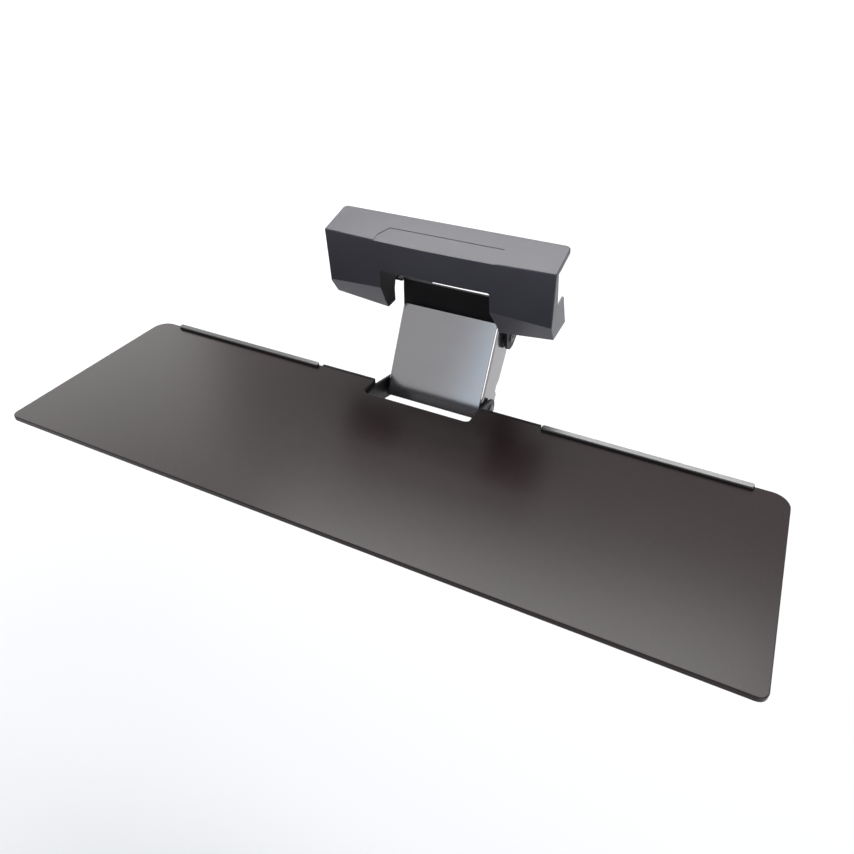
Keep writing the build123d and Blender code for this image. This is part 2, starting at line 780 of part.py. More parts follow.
# Raised rubber beads along the rear edge, which stop a keyboard from sliding off
for side, hand in ((-1, "left"), (1, "right")):
    with BuildPart() as rear_lip:
        with BuildSketch(tray_plane.offset(-lip_seat)):
            with Locations((side * lip_middle, -lip_inset - lip_depth / 2)):
                SlotOverall(lip_length, lip_depth)
        extrude(amount=lip_seat + lip_height)
        fillet(rear_lip.faces().filter_by(tray_plane).sort_by(Axis.Z)[-1].edges(), lip_round)
    write(rear_lip.part, f"rear_lip_{hand}")

# Pressed bracket under the tray: a plate with two ears that reach back to the tilt pivot and
# an upturned flange behind the tray's rear edge on each side.
mount_top = -tray_thick
mount_under = mount_top - mount_steel
mount_rear = mount_rear_gap + mount_steel

with BuildPart() as right_ear:
    with BuildSketch(tray_side.offset(ear_inner)):
        with BuildLine():
            Polyline(
                (mount_rear, mount_top),
                (-mount_slot, mount_top),
                (-mount_slot, mount_under - ear_root),
            )
            CenterArc((tray_ahead, -tray_over), ear_lobe, 0, 360)
        make_hull()
        with Locations((mount_rear, mount_top)):
            Rectangle(through, through, align=(Align.MAX, Align.MIN), mode=Mode.SUBTRACT)
        with Locations((tray_ahead, -tray_over)):
            Circle(pin_radius, mode=Mode.SUBTRACT)
    extrude(amount=mount_steel)
    with BuildSketch(tray_side.offset(ear_inner + mount_steel + mount_relief)):
        with Locations((mount_rear, mount_under)):
            Rectangle(mount_steel, mount_steel + tray_thick, align=(Align.MAX, Align.MIN))
    extrude(amount=mount_half - ear_inner - mount_steel - mount_relief)

with BuildPart() as tray_bracket:
    with BuildSketch(tray_plane.offset(mount_under)) as mount_plan:
        with Locations((0, mount_rear)):
            Rectangle(2 * mount_half, mount_rear + mount_front, align=(Align.CENTER, Align.MAX))
        fillet(mount_plan.vertices().group_by(Axis.Y)[0], mount_corner)
        with BuildSketch(mode=Mode.SUBTRACT) as mount_gap:
            with Locations((0, -mount_slot)):
                Rectangle(2 * ear_inner, through, align=(Align.CENTER, Align.MIN))
            fillet(mount_gap.vertices().group_by(Axis.Y)[0], tray_notch_corner)
        with Locations(*tray_screw_places):
            Circle(screw_radius, mode=Mode.SUBTRACT)
    extrude(amount=mount_steel)
    add(right_ear.part)
    mirror(right_ear.part, about=Plane.YZ)
write(tray_bracket.part, "tray_bracket")

with BuildPart() as tray_screws:
    with BuildSketch(tray_plane.offset(mount_under)) as head_plan:
        with Locations(*tray_screw_places):
            Circle(screw_head_radius)
    extrude(amount=-screw_head_height)
    with BuildSketch(tray_plane.offset(mount_under)):
        with Locations(*tray_screw_places):
            Circle(screw_radius)
    extrude(amount=mount_steel + screw_depth)
write(tray_screws.part, "tray_screws")
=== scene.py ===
from math import cos, pi, radians, sin, sqrt, tan

import bmesh
import bpy
from mathutils import Matrix, Vector


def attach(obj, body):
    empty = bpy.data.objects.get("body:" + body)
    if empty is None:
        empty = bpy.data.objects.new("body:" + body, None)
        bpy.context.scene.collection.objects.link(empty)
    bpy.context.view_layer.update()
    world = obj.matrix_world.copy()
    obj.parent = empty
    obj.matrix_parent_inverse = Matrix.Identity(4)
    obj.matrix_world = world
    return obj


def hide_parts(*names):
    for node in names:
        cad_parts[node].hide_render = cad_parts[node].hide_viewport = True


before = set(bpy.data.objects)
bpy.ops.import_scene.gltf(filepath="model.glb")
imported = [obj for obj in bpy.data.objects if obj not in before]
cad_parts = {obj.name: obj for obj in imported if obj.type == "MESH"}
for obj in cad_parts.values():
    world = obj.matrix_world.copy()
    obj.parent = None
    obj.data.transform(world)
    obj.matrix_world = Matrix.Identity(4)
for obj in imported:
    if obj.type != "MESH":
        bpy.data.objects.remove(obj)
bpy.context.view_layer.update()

MM = 0.001                        # a millimetre, in the scene's metres


# ---- Clamp cover ----
# A thin moulding in dark grey ABS with a fine spark-eroded grain, screwed to the jaw. Its
# bowed face leans forward and folds back into two legs round a notch with matt inner walls,
# whose colour is painted near-black as shade.
# The shallow label bed on top is left bare.

def feed(tree, socket, value):
    """Link a socket to another one, or set it to a plain value."""
    if hasattr(value, "is_output"):
        tree.links.new(value, socket)
    else:
        socket.default_value = value


def add_node(tree, kind, **inputs):
    """A node of that kind; an input's name is matched with spaces for underscores."""
    node = tree.nodes.new(kind)
    for name, value in inputs.items():
        feed(tree, node.inputs[name.replace("_", " ")], value)
    return node


def math_node(tree, operation, first, second):
    """The result of a two-input maths node; each input is a number or a socket."""
    node = tree.nodes.new("ShaderNodeMath")
    node.operation = operation
    feed(tree, node.inputs[0], first)
    feed(tree, node.inputs[1], second)
    return node.outputs[0]


def ramp(tree, value, low, high, start=0.0, end=1.0):
    """Map a value between low and high smoothly on to start to end."""
    node = add_node(tree, "ShaderNodeMapRange", Value=value, From_Min=low, From_Max=high,
                    To_Min=start, To_Max=end)
    node.interpolation_type = "SMOOTHSTEP"
    return node.outputs["Result"]


MIX_FACTOR, MIX_UNDER, MIX_OVER, MIX_RESULT = 0, 6, 7, 2      # a colour mix node's sockets


def tint(tree, mask, under, over):
    """One colour over another by a mask; under is a socket or a colour."""
    mix = tree.nodes.new("ShaderNodeMix")
    mix.data_type = "RGBA"
    feed(tree, mix.inputs[MIX_FACTOR], mask)
    feed(tree, mix.inputs[MIX_UNDER], under if hasattr(under, "is_output") else (*under, 1))
    feed(tree, mix.inputs[MIX_OVER], (*over, 1))
    return mix.outputs[MIX_RESULT]


def new_group(name, inputs, outputs):
    """An empty shader group on object coordinates, with its inputs and outputs named."""
    group = bpy.data.node_groups.new(name, "ShaderNodeTree")
    for label, value in inputs.items():
        socket = group.interface.new_socket(label, in_out="INPUT",
                                            socket_type="NodeSocketFloat")
        socket.default_value = value
    for label in outputs:
        group.interface.new_socket(label, in_out="OUTPUT", socket_type="NodeSocketFloat")
    place = group.nodes.new("ShaderNodeTexCoord").outputs["Object"]
    given = group.nodes.new("NodeGroupInput").outputs
    return group, place, given, group.nodes.new("NodeGroupOutput").inputs


NOISE_MIDDLE = (0.3, 0.7)         # between these a noise goes from one tone to the other

# Fine grain of moulded plastic and powder coat, as a height, with slow unevenness
grain, place, given, out = new_group(
    "fine_grain", {"Grain Scale": 2600.0, "Cloud Scale": 14.0}, ("Height", "Uneven"))
fine = add_node(grain, "ShaderNodeTexNoise", Vector=place, Scale=given["Grain Scale"],
                Detail=3.0, Roughness=0.6)
slow = add_node(grain, "ShaderNodeTexNoise", Vector=place, Scale=given["Cloud Scale"],
                Detail=3.0, Roughness=0.5)
feed(grain, out["Height"], fine.outputs["Fac"])
feed(grain, out["Uneven"], ramp(grain, slow.outputs["Fac"], *NOISE_MIDDLE))

# Soft smears and sparse specks that handling leaves, as masks
SPECK_RIM, SPECK_CORE, SPECK_PATCHES = 0.14, 0.06, (0.60, 0.70)
handled, place, given, out = new_group(
    "handled", {"Smear Scale": 6.0, "Speck Scale": 300.0}, ("Smears", "Specks"))
wide = add_node(handled, "ShaderNodeTexNoise", Vector=place, Scale=given["Smear Scale"],
                Detail=9.0, Roughness=0.6)
dots = add_node(handled, "ShaderNodeTexVoronoi", Vector=place, Scale=given["Speck Scale"],
                Randomness=1.0)
patches = add_node(handled, "ShaderNodeTexNoise", Vector=place, Scale=60.0, Detail=1.0)
specks = math_node(handled, "MULTIPLY",
                   ramp(handled, dots.outputs["Distance"], SPECK_RIM, SPECK_CORE),
                   ramp(handled, patches.outputs["Fac"], *SPECK_PATCHES))
feed(handled, out["Smears"], ramp(handled, wide.outputs["Fac"], *NOISE_MIDDLE))
feed(handled, out["Specks"], specks)

# Sharp edges, which polish first: there a rounded normal turns away from the true one
SAME_WAY, TURNED_AWAY = 0.97, 0.85                   # cosines of the angle between the two
edges, place, given, out = new_group("worn_edges", {"Radius": 0.0005}, ("Edge",))
rounded = add_node(edges, "ShaderNodeBevel", Radius=given["Radius"])
rounded.samples = 4
cosine = edges.nodes.new("ShaderNodeVectorMath")
cosine.operation = "DOT_PRODUCT"
feed(edges, cosine.inputs[0], rounded.outputs["Normal"])
feed(edges, cosine.inputs[1], edges.nodes.new("ShaderNodeNewGeometry").outputs["Normal"])
breakup = add_node(edges, "ShaderNodeTexNoise", Vector=place, Scale=180.0, Detail=4.0)
worn = math_node(edges, "MULTIPLY",
                 ramp(edges, cosine.outputs["Value"], SAME_WAY, TURNED_AWAY),
                 ramp(edges, breakup.outputs["Fac"], 0.35, 0.65, 0.3, 1.0))
feed(edges, out["Edge"], worn)


def use_group(tree, group):
    """Place a shader group in a material and give its outputs."""
    node = tree.nodes.new("ShaderNodeGroup")
    node.node_tree = group
    return node.outputs


def finish_material(name, dark, light, rough, metallic=0.0, bump=0.0, specular=0.5, wear=None,
                    dust=None, smeared=True):
    """A surface between two close tones, with dust in specks and wear on its sharp edges."""
    material = bpy.data.materials.new(name)
    material.use_nodes = True
    tree = material.node_tree
    shader = tree.nodes["Principled BSDF"]
    shader.inputs["Metallic"].default_value = metallic
    shader.inputs["Specular IOR Level"].default_value = specular
    surface = use_group(tree, grain)
    colour = tint(tree, surface["Uneven"], dark, light)
    if dust:
        colour = tint(tree, use_group(tree, handled)["Specks"], colour, dust)
    if wear:
        colour = tint(tree, use_group(tree, edges)["Edge"], colour, wear)
    feed(tree, shader.inputs["Base Color"], colour)
    gloss = use_group(tree, handled)["Smears"] if smeared else surface["Height"]
    feed(tree, shader.inputs["Roughness"], ramp(tree, gloss, 0.0, 1.0, *rough))
    if bump:
        relief = add_node(tree, "ShaderNodeBump", Strength=bump, Distance=0.2 * MM,
                          Height=surface["Height"])
        feed(tree, shader.inputs["Normal"], relief.outputs["Normal"])
    return material


def dress(material, *names):
    """Put a material in every slot of these CAD nodes."""
    for name in names:
        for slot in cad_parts[name].material_slots:
            slot.material = material


cover_grey = finish_material(
    "cover_grey", (0.040, 0.039, 0.050), (0.048, 0.047, 0.059), (0.31, 0.37), bump=0.3,
    specular=0.31, wear=(0.07, 0.07, 0.08), dust=(0.06, 0.06, 0.066))

# The notch's inner walls face sideways, near the middle; they are made matt, and their
# colour is painted near-black as shade
NOTCH_HALF, NOTCH_SHADE_TONE, INNER_ROUGH = 62.5, (0.006, 0.0055, 0.007), 0.75
tree = cover_grey.node_tree
colour, roughness = (tree.nodes["Principled BSDF"].inputs[name]
                     for name in ("Base Color", "Roughness"))
spot = add_node(tree, "ShaderNodeSeparateXYZ",
                Vector=tree.nodes.new("ShaderNodeTexCoord").outputs["Object"])
facing = add_node(tree, "ShaderNodeSeparateXYZ",
                  Vector=tree.nodes.new("ShaderNodeNewGeometry").outputs["True Normal"])
near = math_node(tree, "LESS_THAN", math_node(tree, "ABSOLUTE", spot.outputs["X"], 0.0),
                 NOTCH_HALF * MM)
sideways = ramp(tree, math_node(tree, "ABSOLUTE", facing.outputs["X"], 0.0), 0.5, 0.8)
inner = math_node(tree, "MULTIPLY", near, sideways)
# Painted shade: the notch walls' colour is darkened to near-black
feed(tree, colour, tint(tree, inner, colour.links[0].from_socket, NOTCH_SHADE_TONE))
feed(tree, roughness, math_node(tree, "MAXIMUM", roughness.links[0].from_socket,
                                math_node(tree, "MULTIPLY", inner, INNER_ROUGH)))
dress(cover_grey, "clamp_cover")


# ---- Jaw and hinge bracket ----
# Bent steel in black powder coat with a fine orange peel. The jaw hides inside the cover; the
# bracket's front plate shows in the notch, and its round cheek at the right.
coat_black = finish_material(
    "coat_black", (0.0045, 0.004, 0.005), (0.0065, 0.006, 0.007), (0.40, 0.50), bump=0.45,
    specular=0.14, wear=(0.025, 0.025, 0.027))
dress(coat_black, "upper_jaw", "hinge_bracket", "tray_bracket")


# ---- Rubber facings ----
# Matt black moulded rubber, a little dusty: two strips that line the jaw, and a disc on top
# of each foot. They are stuck on and spare the surface that the clamp grips.
rubber_black = finish_material(
    "rubber_black", (0.010, 0.010, 0.011), (0.015, 0.015, 0.016), (0.50, 0.68), bump=0.6,
    dust=(0.04, 0.04, 0.04))
dress(rubber_black, "desk_pad", "edge_pad", "pad_rubber_left", "pad_rubber_right")


# ---- Feet and clamp screws ----
# Zinc-plated steel, slightly cloudy. Each clamp screw has a metric thread, a socket for a
# hexagon key at its lower end and a ball at its upper end that turns in the foot.
zinc = finish_material(
    "zinc", (0.40, 0.40, 0.39), (0.55, 0.55, 0.53), (0.26, 0.42), metallic=1.0, bump=0.12,
    dust=(0.25, 0.25, 0.24))
dress(zinc, "swivel_pad_left", "swivel_pad_right")


def add_primitive(kind, **sizes):
    """Add a primitive with nothing else selected."""
    bpy.ops.object.select_all(action="DESELECT")
    getattr(bpy.ops.mesh, f"primitive_{kind}_add")(**sizes)
    return bpy.context.object


def draw(profile):
    """A chain of edges through (radius, height) points, each extruded from the last."""
    piece = add_primitive("plane", size=MM)
    bpy.ops.object.mode_set(mode="EDIT")
    bpy.ops.mesh.select_mode(type="VERT")
    bpy.ops.mesh.select_all(action="SELECT")
    bpy.ops.mesh.merge(type="CENTER")
    bpy.ops.transform.translate(value=(profile[0][0] * MM, 0, profile[0][1] * MM))
    for (radius, height), (next_radius, next_height) in zip(profile, profile[1:]):
        step = ((next_radius - radius) * MM, 0, (next_height - height) * MM)
        bpy.ops.mesh.extrude_vertices_move(TRANSFORM_OT_translate={"value": step})
    bpy.ops.object.mode_set(mode="OBJECT")
    return piece


def merge_doubles():
    """In edit mode, merge the vertices that share a place."""
    bpy.ops.mesh.select_all(action="SELECT")
    bpy.ops.mesh.remove_doubles(threshold=1e-6)


def close_up():
    """Merge doubles, turn the faces outwards and leave edit mode."""
    merge_doubles()
    bpy.ops.mesh.normals_make_consistent(inside=False)
    bpy.ops.object.mode_set(mode="OBJECT")


def turned_piece(profile, steps=40):
    """A profile that starts and ends on the vertical axis, spun round it."""
    piece = draw(profile)
    bpy.ops.object.mode_set(mode="EDIT")
    bpy.ops.mesh.select_all(action="SELECT")
    bpy.ops.mesh.spin(steps=steps, angle=2 * pi, center=(0, 0, 0), axis=(0, 0, 1))
    close_up()
    return piece


def modify(piece, kind, **settings):
    """Give a piece one modifier and apply it."""
    modifier = piece.modifiers.new(kind.lower(), kind)
    for name, value in settings.items():
        setattr(modifier, name, value)
    bpy.context.view_layer.objects.active = piece
    bpy.ops.object.modifier_apply(modifier=modifier.name)
    return piece


def cut(piece, tool, operation="DIFFERENCE"):
    """Cut a piece with a tool and delete the tool."""
    modify(piece, "BOOLEAN", object=tool, operation=operation)
    bpy.data.objects.remove(tool)
    return piece


def join(*pieces):
    """Join closed shells into one object."""
    bpy.ops.object.select_all(action="DESELECT")
    for piece in pieces:
        piece.select_set(True)
    bpy.context.view_layer.objects.active = pieces[0]
    if len(pieces) > 1:
        bpy.ops.object.join()
    return pieces[0]


def threaded(radius, pitch, low, high, depth):
    """A closed right-hand thread between two heights, swept by a screw modifier."""
    root = radius - depth
    piece = draw([(root, low), (radius, low + pitch / 2), (root, low + pitch)])
    turns = round((high - low) / pitch)
    modify(piece, "SCREW", screw_offset=pitch * MM, iterations=turns - 1, steps=24,
           render_steps=24)
    bpy.ops.object.mode_set(mode="EDIT")
    merge_doubles()
    bpy.ops.mesh.fill_holes(sides=0)
    close_up()
    return piece


FLAT = cos(pi / 6)                # a hexagon's distance to its flats, as a share of its corners'


def hex_bar(flat, low, high):
    """A hexagonal bar between two heights, flat being half its width across flats."""
    return add_primitive("cylinder", vertices=6, radius=flat / FLAT * MM,
                         depth=(high - low) * MM, location=(0, 0, (low + high) / 2 * MM))


def settle(piece, name, material, slot, body, *nodes, angle=32):
    """Put a piece's place into its mesh, shade and dress it, and tie it to the frame."""
    bpy.ops.object.select_all(action="DESELECT")
    piece.select_set(True)
    bpy.context.view_layer.objects.active = piece
    piece.name = piece.data.name = name
    bpy.ops.object.transform_apply(location=True, rotation=True, scale=True)
    bpy.ops.object.shade_smooth_by_angle(angle=radians(angle))
    piece.data.materials.clear()
    piece.data.materials.append(material)
    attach(piece, body)
    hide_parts(*nodes)


def finish_set(name, model, places, material, node, body):
    """Copy a model to each (centre, axis), each copy with its own mesh, and join the copies."""
    copies = []
    for centre, axis in places:
        copy = bpy.data.objects.new(name, model.data.copy())
        bpy.context.collection.objects.link(copy)
        turn = Vector(axis).to_track_quat("Z", "Y").to_matrix().to_4x4()
        copy.matrix_world = Matrix.Translation(Vector(centre) * MM) @ turn @ model.matrix_world
        copies.append(copy)
    bpy.data.objects.remove(model)
    settle(join(*copies), name, material, "zinc_steel", body, node)


CLAMP_X, CLAMP_Y = 92.0, 14.0
FOOT_TOP, BALL_DROP, BALL_R, NECK_R, NECK_LONG = -36.5, 3.5, 3.0, 2.0, 0.8
BALL_Z = FOOT_TOP - BALL_DROP
NECK_Z = BALL_Z - sqrt(BALL_R ** 2 - NECK_R ** 2)    # where the neck meets the ball
SCREW_R, SCREW_LONG, SCREW_BEVEL, KEY_FLAT, KEY_DEEP = 3.9, 31.0, 0.6, 2.0, 4.4
SCREW_PITCH, SCREW_CUT = 1.25, 0.55
SCREW_TOP = NECK_Z - NECK_LONG
SCREW_FOOT = SCREW_TOP - SCREW_LONG
collar_r, core_r, end_r = SCREW_R - 0.1, SCREW_R - 0.5, SCREW_R - 0.6

ball_profile = [(BALL_R * cos(radians(tilt)), BALL_Z + BALL_R * sin(radians(tilt)))
                for tilt in range(-40, 90, 10)]
spindle_profile = [
    (0, SCREW_FOOT), (end_r, SCREW_FOOT), (collar_r, SCREW_FOOT + SCREW_BEVEL),
    (collar_r, SCREW_FOOT + 1.2), (core_r, SCREW_FOOT + 1.4), (core_r, SCREW_TOP - SCREW_BEVEL),
    (end_r, SCREW_TOP), (NECK_R, SCREW_TOP), (NECK_R, NECK_Z), *ball_profile,
    (0, BALL_Z + BALL_R),
]
for side, hand in ((-1, "left"), (1, "right")):
    core = turned_piece(spindle_profile, steps=36)
    cut(core, hex_bar(KEY_FLAT, SCREW_FOOT - 1.0, SCREW_FOOT + KEY_DEEP))
    ridge = threaded(SCREW_R, SCREW_PITCH, SCREW_FOOT + 1.0, SCREW_TOP - 0.2, SCREW_CUT)
    finish_set(f"spindle_{hand}", join(core, ridge),
               [((side * CLAMP_X, CLAMP_Y, 0.0), (0, 0, 1))], zinc, f"clamp_screw_{hand}",
               f"screw_{hand}")


# ---- Nuts and bolts ----
# Zinc-plated hexagon nuts and bolts with turned chamfers and a washer face. The hinge pins
# have low black heads with a key socket, flush enough to hide beside the cheeks.
CHAMFER_SHARE, CHAMFER_TILT, SPARE = 0.97, radians(30), 0.2


def chamfered_hexagon(flat, low, high, upper=True):
    """A hexagonal bar with its corners turned off at the lower end and, if asked, the upper."""
    circle, corner = flat * CHAMFER_SHARE, flat / FLAT + SPARE
    drop = (corner - circle) * tan(CHAMFER_TILT)
    end = [(corner, high - drop), (circle, high)] if upper else [(corner, high)]
    turned = [(0, low), (circle, low), (corner, low + drop), *end, (0, high)]
    return cut(hex_bar(flat, low, high), turned_piece(turned), "INTERSECT")


SINK, PAST = 0.5, 1.0             # depth of a bore's countersink, and how far its drill overshoots


def nut(flat, low, high, bore):
    """A nut chamfered at both ends, with a countersunk bore."""
    mouth = bore + SINK + PAST
    drill = turned_piece([(0, low - PAST), (mouth, low - PAST), (bore, low + SINK),
                          (bore, high - SINK), (mouth, high + PAST), (0, high + PAST)])
    return cut(chamfered_hexagon(flat, low, high), drill)


LEDGE, STEEL, FLANGE = -62.0, 2.5, -65.0             # undersides of ledge and bracket flange
SEAT = LEDGE + STEEL
BIG_FLAT, BIG_NUT, BIG_BORE = 7.5 * FLAT, 6.5, 4.0
SMALL_FLAT, SMALL_NUT, SMALL_BORE = 5.8 * FLAT, 5.0, 3.0
clamp_spots = [((side * CLAMP_X, CLAMP_Y, 0.0), (0, 0, 1)) for side in (-1, 1)]
bolt_spots = [((side * 69.0, y, 0.0), (0, 0, 1)) for side in (-1, 1) for y in (34.0, 55.0)]

finish_set("ledge_nut_pair", nut(BIG_FLAT, SEAT, SEAT + BIG_NUT, BIG_BORE), clamp_spots, zinc,
           "ledge_nuts", "clamp")
finish_set("bracket_nut_set", nut(SMALL_FLAT, SEAT, SEAT + SMALL_NUT, SMALL_BORE), bolt_spots,
           zinc, "bracket_nuts", "clamp")

# The head hangs below the flange, dished, with a washer face; the shank ends above the nut
BOLT_R, BOLT_CORE, BOLT_PITCH, BOLT_CUT = 3.0, 2.6, 1.0, 0.42
FACE_R, HEAD_TOP, HEAD_FOOT, BOLT_END = 4.9, FLANGE - 0.3, FLANGE - 4.0, SEAT + 6.0
bolt_head = chamfered_hexagon(SMALL_FLAT, HEAD_FOOT, HEAD_TOP, upper=False)
cut(bolt_head, turned_piece([(0, HEAD_FOOT - 1.0), (3.6, HEAD_FOOT - 1.0),
                             (3.4, HEAD_FOOT + 0.2), (0, HEAD_FOOT + 0.2)]))
bolt_shank = turned_piece([
    (0, FLANGE - 0.4), (FACE_R, FLANGE - 0.4), (FACE_R, FLANGE), (BOLT_R, FLANGE),
    (BOLT_R, FLANGE + 2.5), (BOLT_CORE, FLANGE + 3.0), (BOLT_CORE, BOLT_END - 0.4),
    (BOLT_CORE - 0.3, BOLT_END), (0, BOLT_END),
])
bolt_ridge = threaded(BOLT_R, BOLT_PITCH, FLANGE + 2.5, BOLT_END - 0.4, BOLT_CUT)
finish_set("bracket_bolt_set", join(bolt_head, bolt_shank, bolt_ridge), bolt_spots, zinc,
           "bracket_bolts", "clamp")

# Hinge pins: distances run outwards from the middle along the pin, past nut, arm and plate
PIN_R, PIN_CORE, PIN_PITCH, PIN_CUT = 4.0, 3.5, 1.25, 0.5
PIN_HEAD_R, PIN_HEAD_HIGH, PIN_KEY = 6.5, 1.2, 2.0 * FLAT
PIN_FLAT, PIN_END, NUT_END, NUT_START = 7.4 * FLAT, 39.75, 40.75, 47.25
pin_black = finish_material(
    "pin_black", (0.012, 0.012, 0.013), (0.018, 0.018, 0.019), (0.30, 0.42), metallic=0.4,
    bump=0.1, wear=(0.09, 0.09, 0.09))
for label, body, (y, z), plate in (
    ("shoulder", "clamp", (31.0, -117.0), 58.5),
    ("tilt", "tray", (-33.0, -165.0), 58.0),
):
    spots = [((0.0, y, z), (side, 0, 0)) for side in (-1, 1)]
    top = plate + PIN_HEAD_HIGH
    pin = turned_piece([
        (0, PIN_END), (PIN_CORE - 0.2, PIN_END), (PIN_CORE, PIN_END + 0.6),
        (PIN_CORE, NUT_START), (PIN_R, NUT_START + 0.8), (PIN_R, plate), (PIN_HEAD_R, plate),
        (PIN_HEAD_R, top - 0.5), (PIN_HEAD_R - 0.15, top - 0.15), (PIN_HEAD_R - 0.5, top),
        (0, top),
    ])
    cut(pin, hex_bar(PIN_KEY, top - 2.8, top + 1.0))
    ridge = threaded(PIN_R, PIN_PITCH, PIN_END + 0.4, NUT_START + 0.4, PIN_CUT)
    finish_set(f"{label}_pin_pair", join(pin, ridge), spots, pin_black, f"{label}_bolts", body)
    finish_set(f"{label}_nut_pair", nut(PIN_FLAT, NUT_END, NUT_START, PIN_R), spots, zinc,
               f"{label}_nuts", body)


# ---- Washers and disc springs ----
# Flat washers in bright zinc, and disc springs of spring steel with a dark phosphate finish.
# Squeezed by the nut, the springs give each hinge its steady friction.
phosphate = finish_material(
    "phosphate", (0.055, 0.053, 0.05), (0.085, 0.082, 0.078), (0.42, 0.55), metallic=0.8,
    bump=0.2, wear=(0.2, 0.2, 0.19))
dress(zinc, "shoulder_washers", "tilt_washers")
dress(phosphate, "shoulder_springs", "tilt_springs")


# ---- Small screws ----
# Zinc-plated steel with a pressed cross recess. Pan-head screws hold the bracket under the
# board, and countersunk ones hold the cover on the jaw.

def pick(test, kind="EDGE"):
    """In edit mode, select only the edges or faces that pass a test."""
    bpy.ops.mesh.select_mode(type=kind)
    bpy.ops.mesh.select_all(action="DESELECT")
    mesh = bpy.context.object.data
    shape = bmesh.from_edit_mesh(mesh)
    for part in shape.edges if kind == "EDGE" else shape.faces:
        if test(part):
            part.select_set(True)
    bmesh.update_edit_mesh(mesh)


RECESS_WIDE, RECESS_TAPER = 0.84, 0.45


def cross_recess(piece, face, depth, reach):
    """Sink a cross upwards into a head whose outer face is at a height, with two tapered bars."""
    for across, along in ((RECESS_WIDE, 2 * reach), (2 * reach, RECESS_WIDE)):
        bar = add_primitive("cube", size=1, location=(0, 0, (face + (depth - PAST) / 2) * MM),
                            scale=(across * MM, along * MM, (depth + PAST) * MM))
        bpy.ops.object.mode_set(mode="EDIT")
        pick(lambda side: side.normal.z > 0.5, kind="FACE")
        bpy.ops.transform.resize(value=(RECESS_TAPER, RECESS_TAPER, 1.0))
        bpy.ops.object.mode_set(mode="OBJECT")
        cut(piece, bar)


# Heights grow along the way into the board, from the plate's underside
PAN_TOP = -2.2
pan = turned_piece([
    (0, PAN_TOP), (1.0, -2.17), (2.0, -2.07), (2.9, -1.9), (3.5, -1.62), (3.85, -1.3),
    (4.0, -0.8), (4.0, 0), (2.0, 0), (2.0, 5.9), (0, 5.9),
])
cross_recess(pan, PAN_TOP, 1.3, 1.75)

# The tray slopes down to its rear edge, whose middle is at tray_edge
TRAY_SLOPE, BOARD_AND_PLATE = radians(15.0), 7.5
tray_back = Vector((0, cos(TRAY_SLOPE), -sin(TRAY_SLOPE)))
tray_up = Vector((0, sin(TRAY_SLOPE), cos(TRAY_SLOPE)))
tray_edge = Vector((0, -60.105, -132.476))
screw_spots = [
    (Vector((x, 0, 0)) + tray_edge - tray_back * row - tray_up * BOARD_AND_PLATE, tray_up)
    for x in (-106.0, 106.0) for row in (104.0, 64.0, 22.0)
]
finish_set("tray_screw_set", pan, screw_spots, zinc, "tray_screws", "tray")

sunk = turned_piece([(0, 0), (2.75, 0), (1.5, 1.3), (1.5, 6.0), (0.9, 6.5), (0, 6.5)])
cross_recess(sunk, 0.0, 0.9, 1.4)
cover_spots = [((side * x, -1.5, -19.0), (0, -1, 0)) for side in (-1, 1)
               for x in (36.0, CLAMP_X)]
finish_set("cover_screw_set", sunk, cover_spots, zinc, "cover_screws", "clamp")


# ---- Arm ----
# A pressed steel channel with a flat web in a smooth, satin grey metallic coat that mirrors
# its surroundings softly. Its flanges turn on flanged bushes of black acetal.
arm_grey = finish_material(
    "arm_grey", (0.250, 0.242, 0.250), (0.262, 0.254, 0.262), (0.14, 0.17), metallic=0.9,
    wear=(0.34, 0.34, 0.35), smeared=False)
dress(arm_grey, "arm_channel")
bush_black = finish_material(
    "bush_black", (0.010, 0.010, 0.010), (0.014, 0.014, 0.014), (0.35, 0.45), bump=0.1)
dress(bush_black, "arm_bushes")


# ---- Tray ----
# A thin dense laminate board, dark grey-brown, routed to shape with a notch for the arm. Its
# satin face shows soft reflections. Two moulded beads sit in steps along the rear edge.
board_dark = finish_material(
    "board_dark", (0.0145, 0.0078, 0.0076), (0.0170, 0.0094, 0.0092), (0.24, 0.29), bump=0.10,
    specular=0.2, wear=(0.030, 0.022, 0.021), smeared=False)


def upright(edge):
    """Whether an edge stands across the board."""
    return abs(edge.verts[0].co.z - edge.verts[1].co.z) > 1 * MM


def block(low, high):
    """A block between two corners in millimetres, with its size in its mesh."""
    middle = [(a + b) / 2 * MM for a, b in zip(low, high)]
    piece = add_primitive("cube", size=1, location=middle,
                          scale=[(b - a) * MM for a, b in zip(low, high)])
    bpy.ops.object.transform_apply(location=True, rotation=True, scale=True)
    return piece


def bevel(width, segments):
    """Round the selected edges of the piece in edit mode."""
    bpy.ops.mesh.bevel(offset=width * MM, segments=segments, affect="EDGES")


# The board is shaped flat, with its rear edge on the X axis, and then set in its place
BOARD_HALF, BOARD_DEPTH, BOARD_THICK = 343.0, 209.0, 5.0
REAR_R, FRONT_R, EDGE_R = 16.0, 7.5, 0.8
NOTCH_SIDE, NOTCH_DEEP, NOTCH_R = 58.5, 24.0, 6.0
board = block((-BOARD_HALF, -BOARD_DEPTH, -BOARD_THICK), (BOARD_HALF, 0, 0))
bpy.ops.object.mode_set(mode="EDIT")
pick(lambda edge: upright(edge) and edge.verts[0].co.y > -1 * MM)
bevel(REAR_R, 10)
pick(lambda edge: upright(edge) and edge.verts[0].co.y < (1 - BOARD_DEPTH) * MM)
bevel(FRONT_R, 8)
bpy.ops.object.mode_set(mode="OBJECT")
gap = block((-NOTCH_SIDE, -NOTCH_DEEP, -2 * BOARD_THICK), (NOTCH_SIDE, NOTCH_DEEP, BOARD_THICK))
bpy.ops.object.mode_set(mode="EDIT")
pick(lambda edge: upright(edge) and edge.verts[0].co.y < 0)
bevel(NOTCH_R, 6)
bpy.ops.object.mode_set(mode="OBJECT")
cut(board, gap)
bpy.context.view_layer.objects.active = board
bpy.ops.object.mode_set(mode="EDIT")
